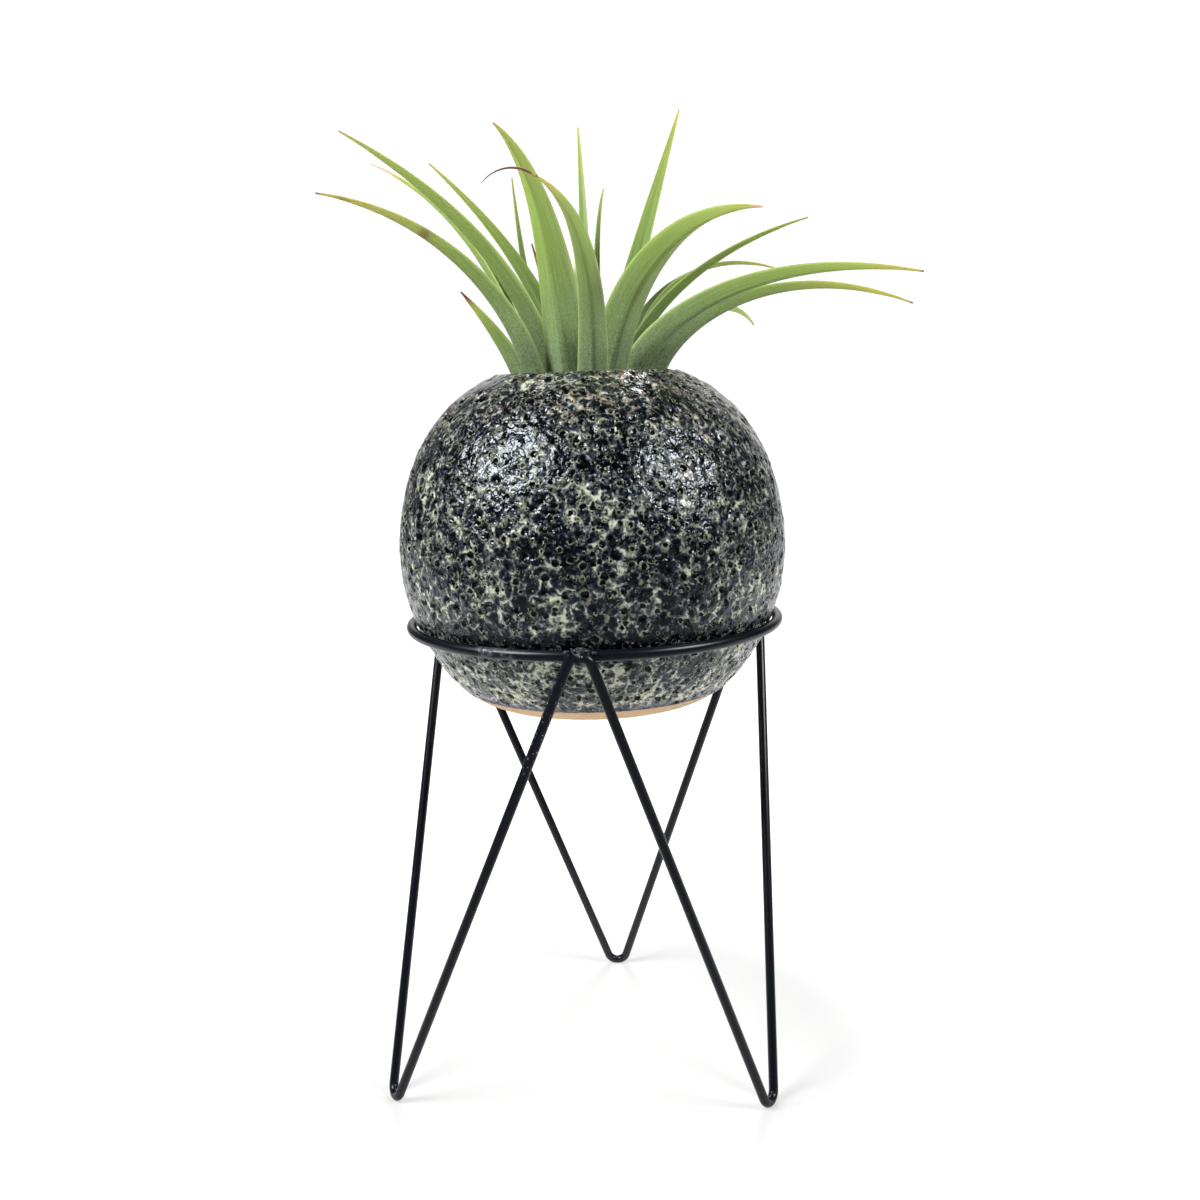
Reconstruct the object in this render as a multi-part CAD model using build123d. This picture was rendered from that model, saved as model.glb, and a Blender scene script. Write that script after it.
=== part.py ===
from build123d import *
import os
from dataclasses import dataclass
from math import acos, asin, cos, degrees, radians, sin

# Air plant holder: a round stoneware vase with a crater glaze rests in the ring of a bent-wire stand,
# and an air plant stands in its mouth. Millimetres, +Z up. The origin lies on the floor, under the
# ring's centre. Angles are in degrees about +Z, from +X, with -90 at the front.

# Wire stand
RING_WIRE = 2.4           # wire diameter of the hoop
RING_HEIGHT = 111.8       # middle of the hoop's wire above the floor
RING_SPLIT_ANGLE = -117   # where the hoop's two ends meet
RING_SPLIT_GAP = 0.8      # root gap between the hoop's ends
RING_BEAD_LENGTH = 3.2    # butt weld along the hoop
RING_BEAD_RISE = 0.15     # how far that weld stands proud of the wire
RING_BEAD_SHIFT = 0.08    # ground thinner on the inside by this
LEG_WIRE = 2.2            # wire diameter of the hairpin legs
FOOT_BEND = 2.7           # bend at a foot, to the middle of the wire
FOOT_FLAT = 0.2           # depth worn flat under each foot
HOOK_BEND = 1.9           # bend at a leg's hooked end
HOOK_RISE = 0.5           # hooked corner above the seat, along the arm
HOOK_GAP = 0.1            # hooked end to the next leg's straight end
END_OVERRUN = 1.5         # straight end above the seat, along the arm
SEAT_ANGLE = 10           # where an arm lies on the hoop, below its outermost line
WELD_GAP = 0.1            # fit-up gap between hoop and arm before welding
ARM_SPACING = 4.2         # between the two arms that meet at one weld
WELD_RADIUS = 2.0         # weld bead
WELD_SHIFT = 0.8          # its middle outside the hoop's wire
WELD_FIT = 0.03           # weld bead to the hoop
FIRST_WELD_ANGLE = -90
LEGS = (                  # bent by hand, so the feet differ: name, foot angle, foot radius over the hoop's
    ("leg_front_right", -30.7, 1.063),
    ("leg_back", 89.5, 1.104),
    ("leg_front_left", 204.7, 1.255),
)
WELDS = ("weld_front", "weld_right", "weld_left")

# Vase: a chain of tangent arcs, measured on the glaze
VASE_RADIUS = 45.0        # lower half is part of a ball of this radius
BELLY_ARC = 55.0          # flatter arc above the widest line
BELLY_ANGLE = 23          # where the belly turns into the shoulder
SHOULDER_ARC = 35.0
LIP_ARC = 2.6             # rounded lip
MOUTH_RADIUS = 18.0
FOOT_ARC = 15.0           # rounded lower edge
FOOT_JOIN_ANGLE = 45      # where the ball turns into the lower edge
WALL = 5.0
FLOOR = 6.0
GLAZE = 0.8               # coat thickness
GLAZE_LINE_ANGLE = 47     # on the lower edge, below which the clay is bare
GLAZE_STEP = 0.2          # how far the glaze stands proud of the bare clay
GLAZE_NECK = 2.0          # depth of the coat inside the mouth, below the lip's middle
SEAT_GAP = 0.25           # vase to hoop
SEAT_LATITUDE = 21.6      # where the hoop holds the ball, below its widest line

# Air plant: leaves fan from a basal plate through the mouth, then lean over
LEAF_GAP = 0.1            # outermost leaves inside the mouth's edge, at the mouth plane
MOUTH_RISE = 1.6          # mouth plane above the lip's middle
PLATE_DEPTH = 22.0        # leaf roots below the mouth plane, in the middle
PLATE_FALL = 4.0          # how much lower the outermost roots are
PLATE_THICKNESS = 6.0
PLATE_MARGIN = 2.2        # plate beyond the outermost roots
ROOT_DEPTH = 1.5          # roots below the plate's top
ROOT_SHARE = 0.6          # root circle to mouth circle, for every leaf alike
LEAF_LENGTH = 70.0        # a long leaf, above the mouth plane
LEAF_WIDTH = 7.0          # a broad leaf, at the mouth plane
LEAF_TAPER = 1.5          # how late a leaf narrows
LEAF_TIP_WIDTH = 0.7
LEAF_CHANNEL = 0.28       # channel depth to leaf width
LEAF_SWELL = 0.15         # thickness to leaf width, over the edge's own thickness
LEAF_THIN = 0.35
STATION_SPACING = 9.0     # between two sections of a leaf
SPINE_STEPS = 10          # steps of the spine between two sections


@dataclass
class Leaf:
    """One leaf: spread is its place between the plant's middle and the mouth's edge."""

    name: str
    angle: float          # direction it grows in
    spread: float
    length: float         # above the mouth plane, over LEAF_LENGTH
    tip_lean: float       # from upright, at the tip
    curl: float           # below 1 it leans over early, above 1 late
    sweep: float          # sideways drift of the tip, over LEAF_LENGTH
    width: float          # at the mouth plane, over LEAF_WIDTH
    roll: float           # turn of the channel about the leaf's own line


LEAVES = (
    Leaf("leaf_left_short", 178, 0.98, 0.33, 36, 0.4, 0.04, 0.95, 35),
    Leaf("leaf_left_low", 205, 0.84, 0.9, 81, 0.9, -0.03, 1, 25),
    Leaf("leaf_left_high", 172, 0.6, 0.97, 57, 0.8, 0.29, 1.07, 40),
    Leaf("leaf_left_behind", 157, 0.9, 1.01, 66, 1.1, 0, 0.79, 15),
    Leaf("leaf_left_inner", 142, 0.45, 0.81, 37, 0.5, 0.23, 0.75, -20),
    Leaf("leaf_left_upright", 138, 0.9, 0.7, 9, 1.66, -0.02, 0.4, 0),
    Leaf("leaf_left_bud", 123, 0.75, 0.48, 17, 0.25, 0.03, 0.43, 0),
    Leaf("leaf_front_left", -122, 0.5, 0.82, 62, 3, -0.02, 1.6, 0),
    Leaf("leaf_front", -80, 0.84, 0.91, 84, 0.63, -0.21, 1, 0),
    Leaf("leaf_front_right", -56, 0.66, 0.93, 98, 0.73, 0.02, 1.3, -15),
    Leaf("leaf_middle_tall", 84, 0.18, 0.89, 34, 1.4, 0.06, 0.43, 0),
    Leaf("leaf_middle_short", 58, 0.27, 0.69, 45, 2, 0.11, 0.36, 0),
    Leaf("leaf_right_tall", 45, 0.5, 1.03, 32, 0.4, 0.11, 1, 25),
    Leaf("leaf_right_thin", 3, 0.55, 0.76, 77, 0.64, -0.18, 0.66, -15),
    Leaf("leaf_right_behind", 50, 0.78, 0.71, 111, 1.3, -0.27, 0.71, -15),
    Leaf("leaf_right_long", -17, 0.76, 0.98, 100, 0.46, 0.07, 1.03, -25),
    Leaf("leaf_right_low", 3, 1.0, 0.91, 112, 0.6, -0.06, 0.93, -20),
    Leaf("leaf_right_droop", 25, 0.93, 0.69, 113, 0.7, 0.37, 0.79, -20),
    Leaf("leaf_back", 98, 0.78, 0.6, 70, 1.0, 0, 0.79, 0),
    Leaf("leaf_back_right", 73, 0.93, 0.51, 95, 0.8, 0, 0.79, 0),
    Leaf("leaf_back_left", 121, 0.96, 0.54, 85, 0.8, 0, 0.71, 0),
)


def polar(angle, radius, height):
    """Point at a height, by angle and radius about the stand's axis."""
    return Vector(radius * cos(radians(angle)), radius * sin(radians(angle)), height)


# Wire stand

ring_tube = RING_WIRE / 2
leg_tube = LEG_WIRE / 2
# The ball's middle is one ball radius, one gap and one wire radius away from the middle of the hoop's wire.
hoop_reach = VASE_RADIUS + SEAT_GAP + ring_tube
ring_radius = hoop_reach * cos(radians(SEAT_LATITUDE))
equator = RING_HEIGHT + hoop_reach * sin(radians(SEAT_LATITUDE))
seat_reach = ring_tube + leg_tube + WELD_GAP
seat_radius = ring_radius + seat_reach * cos(radians(SEAT_ANGLE))
seat_height = RING_HEIGHT - seat_reach * sin(radians(SEAT_ANGLE))
weld_pitch = 360 / len(WELDS)
arm_offset = degrees(ARM_SPACING / 2 / seat_radius)


def hoop(tube, radius, start, sweep_angle):
    """Piece of a round hoop about the stand's axis."""
    section = Plane.XZ * Pos(radius, RING_HEIGHT) * Circle(tube)
    return Rot(0, 0, start) * revolve(section, Axis.Z, sweep_angle)


def foot_corner(apex, top_a, top_b):
    """Corner of the two arms' lines, so that the bend between them touches the foot's place."""
    corner = apex
    for _ in range(8):
        dir_a = (top_a - corner).normalized()
        dir_b = (top_b - corner).normalized()
        middle = (dir_a + dir_b).normalized()
        half_angle = radians(dir_a.get_angle(dir_b) / 2)
        corner = apex - middle * (FOOT_BEND * (1 / sin(half_angle) - 1))
    return corner


def hairpin(weld_angle, foot_angle, foot_spread):
    """One leg: hooked end, arm, foot bend, arm, straight end."""
    hook_seat = polar(weld_angle + arm_offset, seat_radius, seat_height)
    plain_seat = polar(weld_angle + weld_pitch - arm_offset, seat_radius, seat_height)
    apex = polar(foot_angle, ring_radius * foot_spread, leg_tube - FOOT_FLAT)
    corner = foot_corner(apex, hook_seat, plain_seat)
    hook_corner = hook_seat + (hook_seat - corner).normalized() * HOOK_RISE
    plain_end = plain_seat + (plain_seat - corner).normalized() * END_OVERRUN
    along_ring = polar(weld_angle - 90, 1, 0)
    hook_run = ARM_SPACING - LEG_WIRE - HOOK_GAP
    path = FilletPolyline(
        hook_corner + along_ring * hook_run, hook_corner, corner, plain_end, radius=[HOOK_BEND, FOOT_BEND]
    )
    wire = sweep(Plane(origin=path @ 0, z_dir=path % 0) * Circle(leg_tube), path)
    below_floor = Pos(corner.X, corner.Y, 0) * Box(
        8 * LEG_WIRE, 8 * LEG_WIRE, 4 * LEG_WIRE, align=(Align.CENTER, Align.CENTER, Align.MAX)
    )
    return wire - below_floor


parts = {}
split_angle = degrees(RING_SPLIT_GAP / ring_radius)
bead_angle = degrees(RING_BEAD_LENGTH / ring_radius)
ring = hoop(ring_tube, ring_radius, RING_SPLIT_ANGLE + split_angle / 2, 360 - split_angle)
bead_tube = ring_tube + RING_BEAD_RISE
bead = hoop(bead_tube, ring_radius + RING_BEAD_SHIFT, RING_SPLIT_ANGLE - bead_angle / 2, bead_angle)
parts["ring"] = ring
parts["ring_butt_weld"] = bead - ring
for index, (name, foot_angle, foot_spread) in enumerate(LEGS):
    parts[name] = hairpin(FIRST_WELD_ANGLE + index * weld_pitch, foot_angle, foot_spread)
weld_cut = hoop(ring_tube + WELD_FIT, ring_radius, 0, 360)
for index, name in enumerate(WELDS):
    weld_angle = FIRST_WELD_ANGLE + index * weld_pitch
    place = polar(weld_angle, ring_radius + WELD_SHIFT, RING_HEIGHT)
    along_ring = Plane(place, x_dir=polar(weld_angle, -1, 0), z_dir=polar(weld_angle + 90, 1, 0))
    before = parts[LEGS[index - 1][0]]
    after = parts[LEGS[index][0]]
    parts[name] = along_ring * Sphere(WELD_RADIUS) - weld_cut - before - after

# Vase

ball = (0, equator)
belly = (VASE_RADIUS - BELLY_ARC, equator)
shoulder = (
    belly[0] + (BELLY_ARC - SHOULDER_ARC) * cos(radians(BELLY_ANGLE)),
    belly[1] + (BELLY_ARC - SHOULDER_ARC) * sin(radians(BELLY_ANGLE)),
)
lip_radius = MOUTH_RADIUS + LIP_ARC
lip_angle = degrees(acos((lip_radius - shoulder[0]) / (SHOULDER_ARC - LIP_ARC)))
lip = (lip_radius, shoulder[1] + (SHOULDER_ARC - LIP_ARC) * sin(radians(lip_angle)))
foot = (
    (VASE_RADIUS - FOOT_ARC) * cos(radians(FOOT_JOIN_ANGLE)),
    equator - (VASE_RADIUS - FOOT_ARC) * sin(radians(FOOT_JOIN_ANGLE)),
)
clay_under = FOOT_ARC - GLAZE
clay_foot = FOOT_ARC - GLAZE_STEP
foot_height = foot[1] - clay_foot
floor_height = foot_height + FLOOR


def on_arc(center, radius, angle):
    """Point of the profile at an angle of an arc."""
    return (center[0] + radius * cos(radians(angle)), center[1] + radius * sin(radians(angle)))


def arc(center, radius, start, end):
    """Arc of the profile between two angles."""
    middle = on_arc(center, radius, (start + end) / 2)
    return ThreePointArc(on_arc(center, radius, start), middle, on_arc(center, radius, end))


def outside(inset, foot_angle):
    """Profile from the lower edge up to the lip's inner side, inset from the glaze."""
    return [
        arc(foot, FOOT_ARC - inset, -foot_angle, -FOOT_JOIN_ANGLE),
        arc(ball, VASE_RADIUS - inset, -FOOT_JOIN_ANGLE, 0),
        arc(belly, BELLY_ARC - inset, 0, BELLY_ANGLE),
        arc(shoulder, SHOULDER_ARC - inset, BELLY_ANGLE, lip_angle),
        arc(lip, LIP_ARC - inset, lip_angle, 180),
    ]


def turned(edges):
    """Solid of revolution of a closed profile of radius and height."""
    return revolve(Plane.XZ * make_face(edges), Axis.Z)


clay_neck = MOUTH_RADIUS + GLAZE
inset = GLAZE + WALL
neck_angle = degrees(acos((clay_neck - shoulder[0]) / (SHOULDER_ARC - inset)))
floor_angle = degrees(asin((equator - floor_height) / (VASE_RADIUS - inset)))
neck_end = on_arc(shoulder, SHOULDER_ARC - inset, neck_angle)
floor_edge = on_arc(ball, VASE_RADIUS - inset, -floor_angle)
parts["clay_body"] = turned(
    outside(GLAZE, GLAZE_LINE_ANGLE)
    + [
        Line((clay_neck, lip[1]), neck_end),
        arc(shoulder, SHOULDER_ARC - inset, neck_angle, BELLY_ANGLE),
        arc(belly, BELLY_ARC - inset, BELLY_ANGLE, 0),
        arc(ball, VASE_RADIUS - inset, 0, -floor_angle),
        Line(floor_edge, (0, floor_height)),
        Line((0, floor_height), (0, foot_height)),
        Line((0, foot_height), (foot[0], foot_height)),
        arc(foot, clay_foot, -90, -GLAZE_LINE_ANGLE),
        Line(on_arc(foot, clay_foot, -GLAZE_LINE_ANGLE), on_arc(foot, clay_under, -GLAZE_LINE_ANGLE)),
    ]
)
coat_end = lip[1] - GLAZE_NECK
parts["crater_glaze"] = turned(
    outside(0, GLAZE_LINE_ANGLE)
    + [
        Line((MOUTH_RADIUS, lip[1]), (MOUTH_RADIUS, coat_end)),
        Line((MOUTH_RADIUS, coat_end), (clay_neck, coat_end)),
        Line((clay_neck, coat_end), (clay_neck, lip[1])),
        Line(on_arc(foot, clay_under, -GLAZE_LINE_ANGLE), on_arc(foot, FOOT_ARC, -GLAZE_LINE_ANGLE)),
    ]
    + outside(GLAZE, GLAZE_LINE_ANGLE)
)

# Air plant

mouth_height = lip[1] + MOUTH_RISE


def leaf_thickness(width):
    """Thickness along the middle of a leaf of that width."""
    return LEAF_THIN + LEAF_SWELL * width


def blade(place, along, leaf, width):
    """Section of a leaf: a crescent, hollow towards the plant's middle."""
    side = polar(leaf.angle + 90, 1, 0)
    across = (side - along * side.dot(along)).normalized()
    across = across.rotate(Axis((0, 0, 0), along), leaf.roll)
    inward = along.cross(across)
    half = leaf_thickness(width) / 2
    edge_a = place - across * (width / 2) + inward * (LEAF_CHANNEL * width)
    edge_b = place + across * (width / 2) + inward * (LEAF_CHANNEL * width)
    back = ThreePointArc(edge_a, place - inward * half, edge_b)
    hollow = ThreePointArc(edge_b, place + inward * half, edge_a)
    return Face(Wire([back, hollow]))


def leaf_sections(leaf):
    """Sections from the root, straight to the mouth plane, then along the leaning spine."""
    length = leaf.length * LEAF_LENGTH
    sweep_by = leaf.sweep * LEAF_LENGTH
    mouth_width = leaf.width * LEAF_WIDTH
    reach = leaf.spread * (MOUTH_RADIUS - LEAF_GAP - leaf_thickness(mouth_width) / 2)
    rise = PLATE_DEPTH + PLATE_FALL * leaf.spread
    root = polar(leaf.angle, reach * ROOT_SHARE, mouth_height - rise)
    gate = polar(leaf.angle, reach, mouth_height)
    shank = (gate - root).normalized()
    sections = []
    for share in (0, 0.5):
        width = mouth_width * (ROOT_SHARE + (1 - ROOT_SHARE) * share)
        sections.append(blade(root + (gate - root) * share, shank, leaf, width))
    first_lean = shank.get_angle(Vector(0, 0, 1))
    outward = polar(leaf.angle, 1, 0)
    side = polar(leaf.angle + 90, 1, 0)
    radius, height = reach, mouth_height
    count = round(length / STATION_SPACING)
    step = 1 / count / SPINE_STEPS
    for index in range(count + 1):
        station = index / count
        for inner in range(SPINE_STEPS if index else 0):
            middle = station - step * (SPINE_STEPS - inner - 0.5)
            lean = radians(first_lean + (leaf.tip_lean - first_lean) * middle**leaf.curl)
            radius += sin(lean) * step * length
            height += cos(lean) * step * length
        lean = radians(first_lean + (leaf.tip_lean - first_lean) * station**leaf.curl)
        along = outward * sin(lean) + Vector(0, 0, cos(lean)) + side * (2 * sweep_by * station / length)
        place = outward * radius + side * (sweep_by * station**2) + Vector(0, 0, height)
        width = LEAF_TIP_WIDTH + (mouth_width - LEAF_TIP_WIDTH) * (1 - station**LEAF_TAPER)
        sections.append(blade(place, along.normalized(), leaf, width))
    return sections


plate_radius = MOUTH_RADIUS * ROOT_SHARE + PLATE_MARGIN
plate_top = mouth_height - PLATE_DEPTH + ROOT_DEPTH
plate_edge = plate_top - PLATE_FALL * plate_radius / (MOUTH_RADIUS * ROOT_SHARE)
plate_base = plate_edge - PLATE_THICKNESS
plate = turned(
    [
        Line((0, plate_base), (plate_radius / 2, plate_base)),
        Line((plate_radius / 2, plate_base), (plate_radius, plate_edge)),
        Line((plate_radius, plate_edge), (0, plate_top)),
        Line((0, plate_top), (0, plate_base)),
    ]
)
parts["basal_plate"] = plate
for leaf in LEAVES:
    parts[leaf.name] = loft(leaf_sections(leaf)) - plate

os.makedirs("parts", exist_ok=True)
for name, solid in parts.items():
    export_step(solid, f"parts/{name}.step")
    print(f"{name}: {len(solid.solids())} solid, {solid.volume:.1f} mm3")
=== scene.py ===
"""Looks of an air plant holder: a crater-glazed vase in the ring of a bent-wire stand, with an air plant in its mouth.

Sizes in the classes are in millimetres and angles in degrees. Meshes are in metres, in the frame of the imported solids.
A span says where a value starts to count, where it counts in full, how much it counts there, and how much before.
"""

import logging
import math
from dataclasses import dataclass
from enum import Enum
from typing import Any, Optional, Sequence, Union

import bpy
import numpy as np
from mathutils import Matrix, Vector


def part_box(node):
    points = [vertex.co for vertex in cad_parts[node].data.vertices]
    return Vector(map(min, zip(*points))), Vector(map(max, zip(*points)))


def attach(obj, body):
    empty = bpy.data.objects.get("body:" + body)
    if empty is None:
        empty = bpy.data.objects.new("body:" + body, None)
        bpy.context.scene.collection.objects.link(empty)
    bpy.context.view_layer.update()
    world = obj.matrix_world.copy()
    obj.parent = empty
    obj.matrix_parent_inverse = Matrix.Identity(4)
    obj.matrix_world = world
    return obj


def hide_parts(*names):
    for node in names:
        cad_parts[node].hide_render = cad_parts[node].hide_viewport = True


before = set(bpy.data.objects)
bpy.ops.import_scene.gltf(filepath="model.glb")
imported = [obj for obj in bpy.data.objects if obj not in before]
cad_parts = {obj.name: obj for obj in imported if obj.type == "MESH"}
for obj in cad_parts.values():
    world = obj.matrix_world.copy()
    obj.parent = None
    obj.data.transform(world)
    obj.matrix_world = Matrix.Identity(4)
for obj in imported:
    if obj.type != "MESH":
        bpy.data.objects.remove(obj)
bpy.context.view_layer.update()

MM = 0.001
LOG = logging.getLogger("air_plant_holder")
Socket = bpy.types.NodeSocket
Colour = tuple[float, float, float, float]
Point = tuple[float, float, float]
Span = tuple[float, ...]
Tones = tuple[tuple[float, str], ...]


def linear(code: str) -> Colour:
    """Turns an sRGB hex colour into a linear one.

    Args:
        code: colour such as "#cfa77d".

    Returns:
        Linear red, green, blue and an alpha of 1.
    """
    parts = [int(code[i : i + 2], 16) / 255 for i in (1, 3, 5)]
    flat = [c / 12.92 if c <= 0.04045 else ((c + 0.055) / 1.055) ** 2.4 for c in parts]
    return (flat[0], flat[1], flat[2], 1.0)


def polar(angle: float, radius: float, height: float) -> Vector:
    """Gives a point by its angle and radius about the stand's axis.

    Args:
        angle: degrees from +X.
        radius: distance from the axis.
        height: height above the floor.

    Returns:
        The point, in the unit of radius and height.
    """
    turn = math.radians(angle)
    return Vector((radius * math.cos(turn), radius * math.sin(turn), height))


class Graph:
    """Node tree of one finish, or of one shaping step."""

    def __init__(self, tree: bpy.types.NodeTree) -> None:
        """Starts from an empty tree."""
        self.tree = tree
        tree.nodes.clear()

    def add(self, kind: str, inputs: Optional[dict[Any, Any]] = None, **settings: Any) -> bpy.types.Node:
        """Adds one node with its settings and links.

        Args:
            kind: type name of the node.
            inputs: socket name or number, to a constant or to the output that feeds it.
            settings: properties of the node.

        Returns:
            The new node.
        """
        node = self.tree.nodes.new(kind)
        for key, value in settings.items():
            setattr(node, key, value)
        for key, value in (inputs or {}).items():
            if isinstance(value, Socket):
                self.tree.links.new(value, node.inputs[key])
            else:
                node.inputs[key].default_value = value
        return node

    def place(self) -> Socket:
        """Gives a point's place on its object, in metres."""
        return self.add("ShaderNodeTexCoord").outputs["Object"]

    def attribute(self, name: str, output: str = "Fac") -> Socket:
        """Gives an attribute of the mesh, as a number unless another output is named."""
        return self.add("ShaderNodeAttribute", attribute_name=name).outputs[output]

    def noise(self, place: Socket, size: float, detail: float, output: Any = 0, **more: float) -> Socket:
        """Adds noise.

        Args:
            place: where it is read.
            size: size of its lumps.
            detail: number of finer layers.
            output: 0 for a number or Color for three.
            more: further inputs of the node.

        Returns:
            The noise, from 0 to 1.
        """
        inputs = {"Vector": place, "Scale": 1 / (size * MM), "Detail": detail, **more}
        return self.add("ShaderNodeTexNoise", inputs).outputs[output]

    def span(
        self, value: Socket, start: float, full: float, high: float = 1, low: float = 0, soft: bool = False
    ) -> Socket:
        """Maps a span of values.

        Args:
            value: the value.
            start: the value that gives low.
            full: the value that gives high.
            high: result from full on.
            low: result up to start.
            soft: true for a smooth start and end.

        Returns:
            The result.
        """
        inputs = {"Value": value, "From Min": start, "From Max": full, "To Min": low, "To Max": high}
        kind = "SMOOTHSTEP" if soft else "LINEAR"
        return self.add("ShaderNodeMapRange", inputs, interpolation_type=kind).outputs[0]

    def math(self, operation: str, *values: Union[float, Socket], **settings: Any) -> Socket:
        """Gives the result of an operation on numbers."""
        return self.add("ShaderNodeMath", dict(enumerate(values)), operation=operation, **settings).outputs[0]

    def times(self, one: Socket, other: Union[float, Socket]) -> Socket:
        """Gives the product of two numbers."""
        return self.math("MULTIPLY", one, other)

    def shift(self, place: Socket, by: Socket, reach: float) -> Socket:
        """Moves a place by noise, up to a reach."""
        inputs = {0: by, 1: (reach * MM,) * 3, 2: place}
        return self.add("ShaderNodeVectorMath", inputs, operation="MULTIPLY_ADD").outputs[0]

    def tones(self, value: Socket, stops: Tones) -> Socket:
        """Gives a value the colours of a ramp.

        Args:
            value: the value.
            stops: places and colours of the ramp.

        Returns:
            The colour.
        """
        node = self.add("ShaderNodeValToRGB", {0: value})
        elements = node.color_ramp.elements
        for element, (place, code) in zip(elements, (stops[0], stops[-1])):
            element.position, element.color = place, linear(code)
        for place, code in stops[1:-1]:
            elements.new(place).color = linear(code)
        return node.outputs[0]

    def mix(self, share: Socket, below: Union[str, Socket], above: Union[str, Socket]) -> Socket:
        """Lays a share of one colour over another, each a hex colour or a socket."""
        inputs = {key: linear(tint) if isinstance(tint, str) else tint for key, tint in ((6, below), (7, above))}
        return self.add("ShaderNodeMix", {0: share, **inputs}, data_type="RGBA").outputs[2]

    def bump(self, height: Socket, depth: float, strength: float) -> Socket:
        """Gives the normal of an uneven surface."""
        inputs = {"Strength": strength, "Distance": depth * MM, "Height": height}
        return self.add("ShaderNodeBump", inputs).outputs[0]

    def surface(self, inputs: dict[str, Any]) -> None:
        """Ends a finish with a Principled surface."""
        shader = self.add("ShaderNodeBsdfPrincipled", inputs)
        self.add("ShaderNodeOutputMaterial", {"Surface": shader.outputs[0]})


def start_finish(name: str) -> tuple[bpy.types.Material, Graph]:
    """Makes an empty material.

    Args:
        name: common name of the real material.

    Returns:
        The material and its node graph.
    """
    material = bpy.data.materials.new(name)
    material.use_nodes = True
    return material, Graph(material.node_tree)


def clear_selection() -> None:
    """Leaves edit mode and deselects everything."""
    if bpy.context.object and bpy.context.object.mode != "OBJECT":
        bpy.ops.object.mode_set(mode="OBJECT")
    bpy.ops.object.select_all(action="DESELECT")


def take(*objects: bpy.types.Object) -> None:
    """Selects objects alone and makes the first one active.

    Args:
        objects: the objects.
    """
    clear_selection()
    for obj in objects:
        obj.select_set(True)
    bpy.context.view_layer.objects.active = objects[0]


def bake_place() -> None:
    """Puts the place of the selected object into its vertices."""
    bpy.ops.object.transform_apply(location=True, rotation=True, scale=True)


def edit_all() -> None:
    """Enters edit mode with the whole mesh selected."""
    bpy.ops.object.mode_set(mode="EDIT")
    bpy.ops.mesh.select_all(action="SELECT")


def close_up(merge: float = 0, fill: bool = True) -> None:
    """Makes a mesh whole, with its faces outward, and leaves edit mode.

    Args:
        merge: vertices this close become one, if over 0.
        fill: true to close open ends.
    """
    edit_all()
    if merge:
        bpy.ops.mesh.remove_doubles(threshold=merge * MM)
    if fill:
        bpy.ops.mesh.fill_holes(sides=0)
    bpy.ops.mesh.normals_make_consistent(inside=False)
    bpy.ops.object.mode_set(mode="OBJECT")


def settle(obj: bpy.types.Object, name: str, sharp: float = 40) -> bpy.types.Object:
    """Names a finished mesh, puts its place into its vertices and smooths it.

    Args:
        obj: the mesh object.
        name: name of the piece.
        sharp: edges over this angle stay sharp.

    Returns:
        The same object.
    """
    take(obj)
    bake_place()
    bpy.ops.object.shade_smooth_by_angle(angle=math.radians(sharp))
    obj.name = name
    obj.data.name = name
    return obj


def dress(obj: bpy.types.Object, material: bpy.types.Material, body: str, slot: str, *nodes: str) -> None:
    """Gives a piece its finish, its body and the solids that it stands for.

    Args:
        obj: the piece.
        material: its finish.
        body: body that it moves with.
        slot: not used; names a material slot of the record.
        nodes: solids that it replaces.
    """
    obj.data.materials.clear()
    obj.data.materials.append(material)
    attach(obj, body)
    if nodes:
        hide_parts(*nodes)
    LOG.info("%s: %d faces, on %s", obj.name, len(obj.data.polygons), body)


def add_modifier(obj: bpy.types.Object, kind: str, **settings: Any) -> None:
    """Adds a modifier to the active object and applies it.

    Args:
        obj: the object, already active.
        kind: type name of the modifier.
        settings: its properties.
    """
    modifier = obj.modifiers.new(kind.lower(), kind)
    for key, value in settings.items():
        setattr(modifier, key, value)
    bpy.ops.object.modifier_apply(modifier=modifier.name)


def add_lumps(obj: bpy.types.Object, size: float, height: float, middle: float = 0.5, depth: int = 2) -> None:
    """Makes the active object's surface uneven.

    Args:
        obj: the object, already active.
        size: size of its lumps.
        height: height of its lumps.
        middle: share of that height that stays where it is.
        depth: number of finer layers.
    """
    lumps = bpy.data.textures.new(obj.name, "CLOUDS")
    lumps.noise_scale = size * MM
    lumps.noise_depth = depth
    add_modifier(obj, "DISPLACE", texture=lumps, strength=height * MM, mid_level=middle, texture_coords="LOCAL")


def vertex_values(obj: bpy.types.Object, name: str) -> np.ndarray:
    """Reads a vector of every vertex.

    Args:
        obj: the mesh object.
        name: co for its place or normal for its direction.

    Returns:
        One row for each vertex.
    """
    values = np.empty(len(obj.data.vertices) * 3)
    obj.data.vertices.foreach_get(name, values)
    return values.reshape(-1, 3)


def mark(obj: bpy.types.Object, **marks: np.ndarray) -> None:
    """Stores attributes with one number for each vertex."""
    for name, values in marks.items():
        obj.data.attributes.new(name, "FLOAT", "POINT").data.foreach_set("value", values.astype(np.float32))


# Finishes


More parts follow.
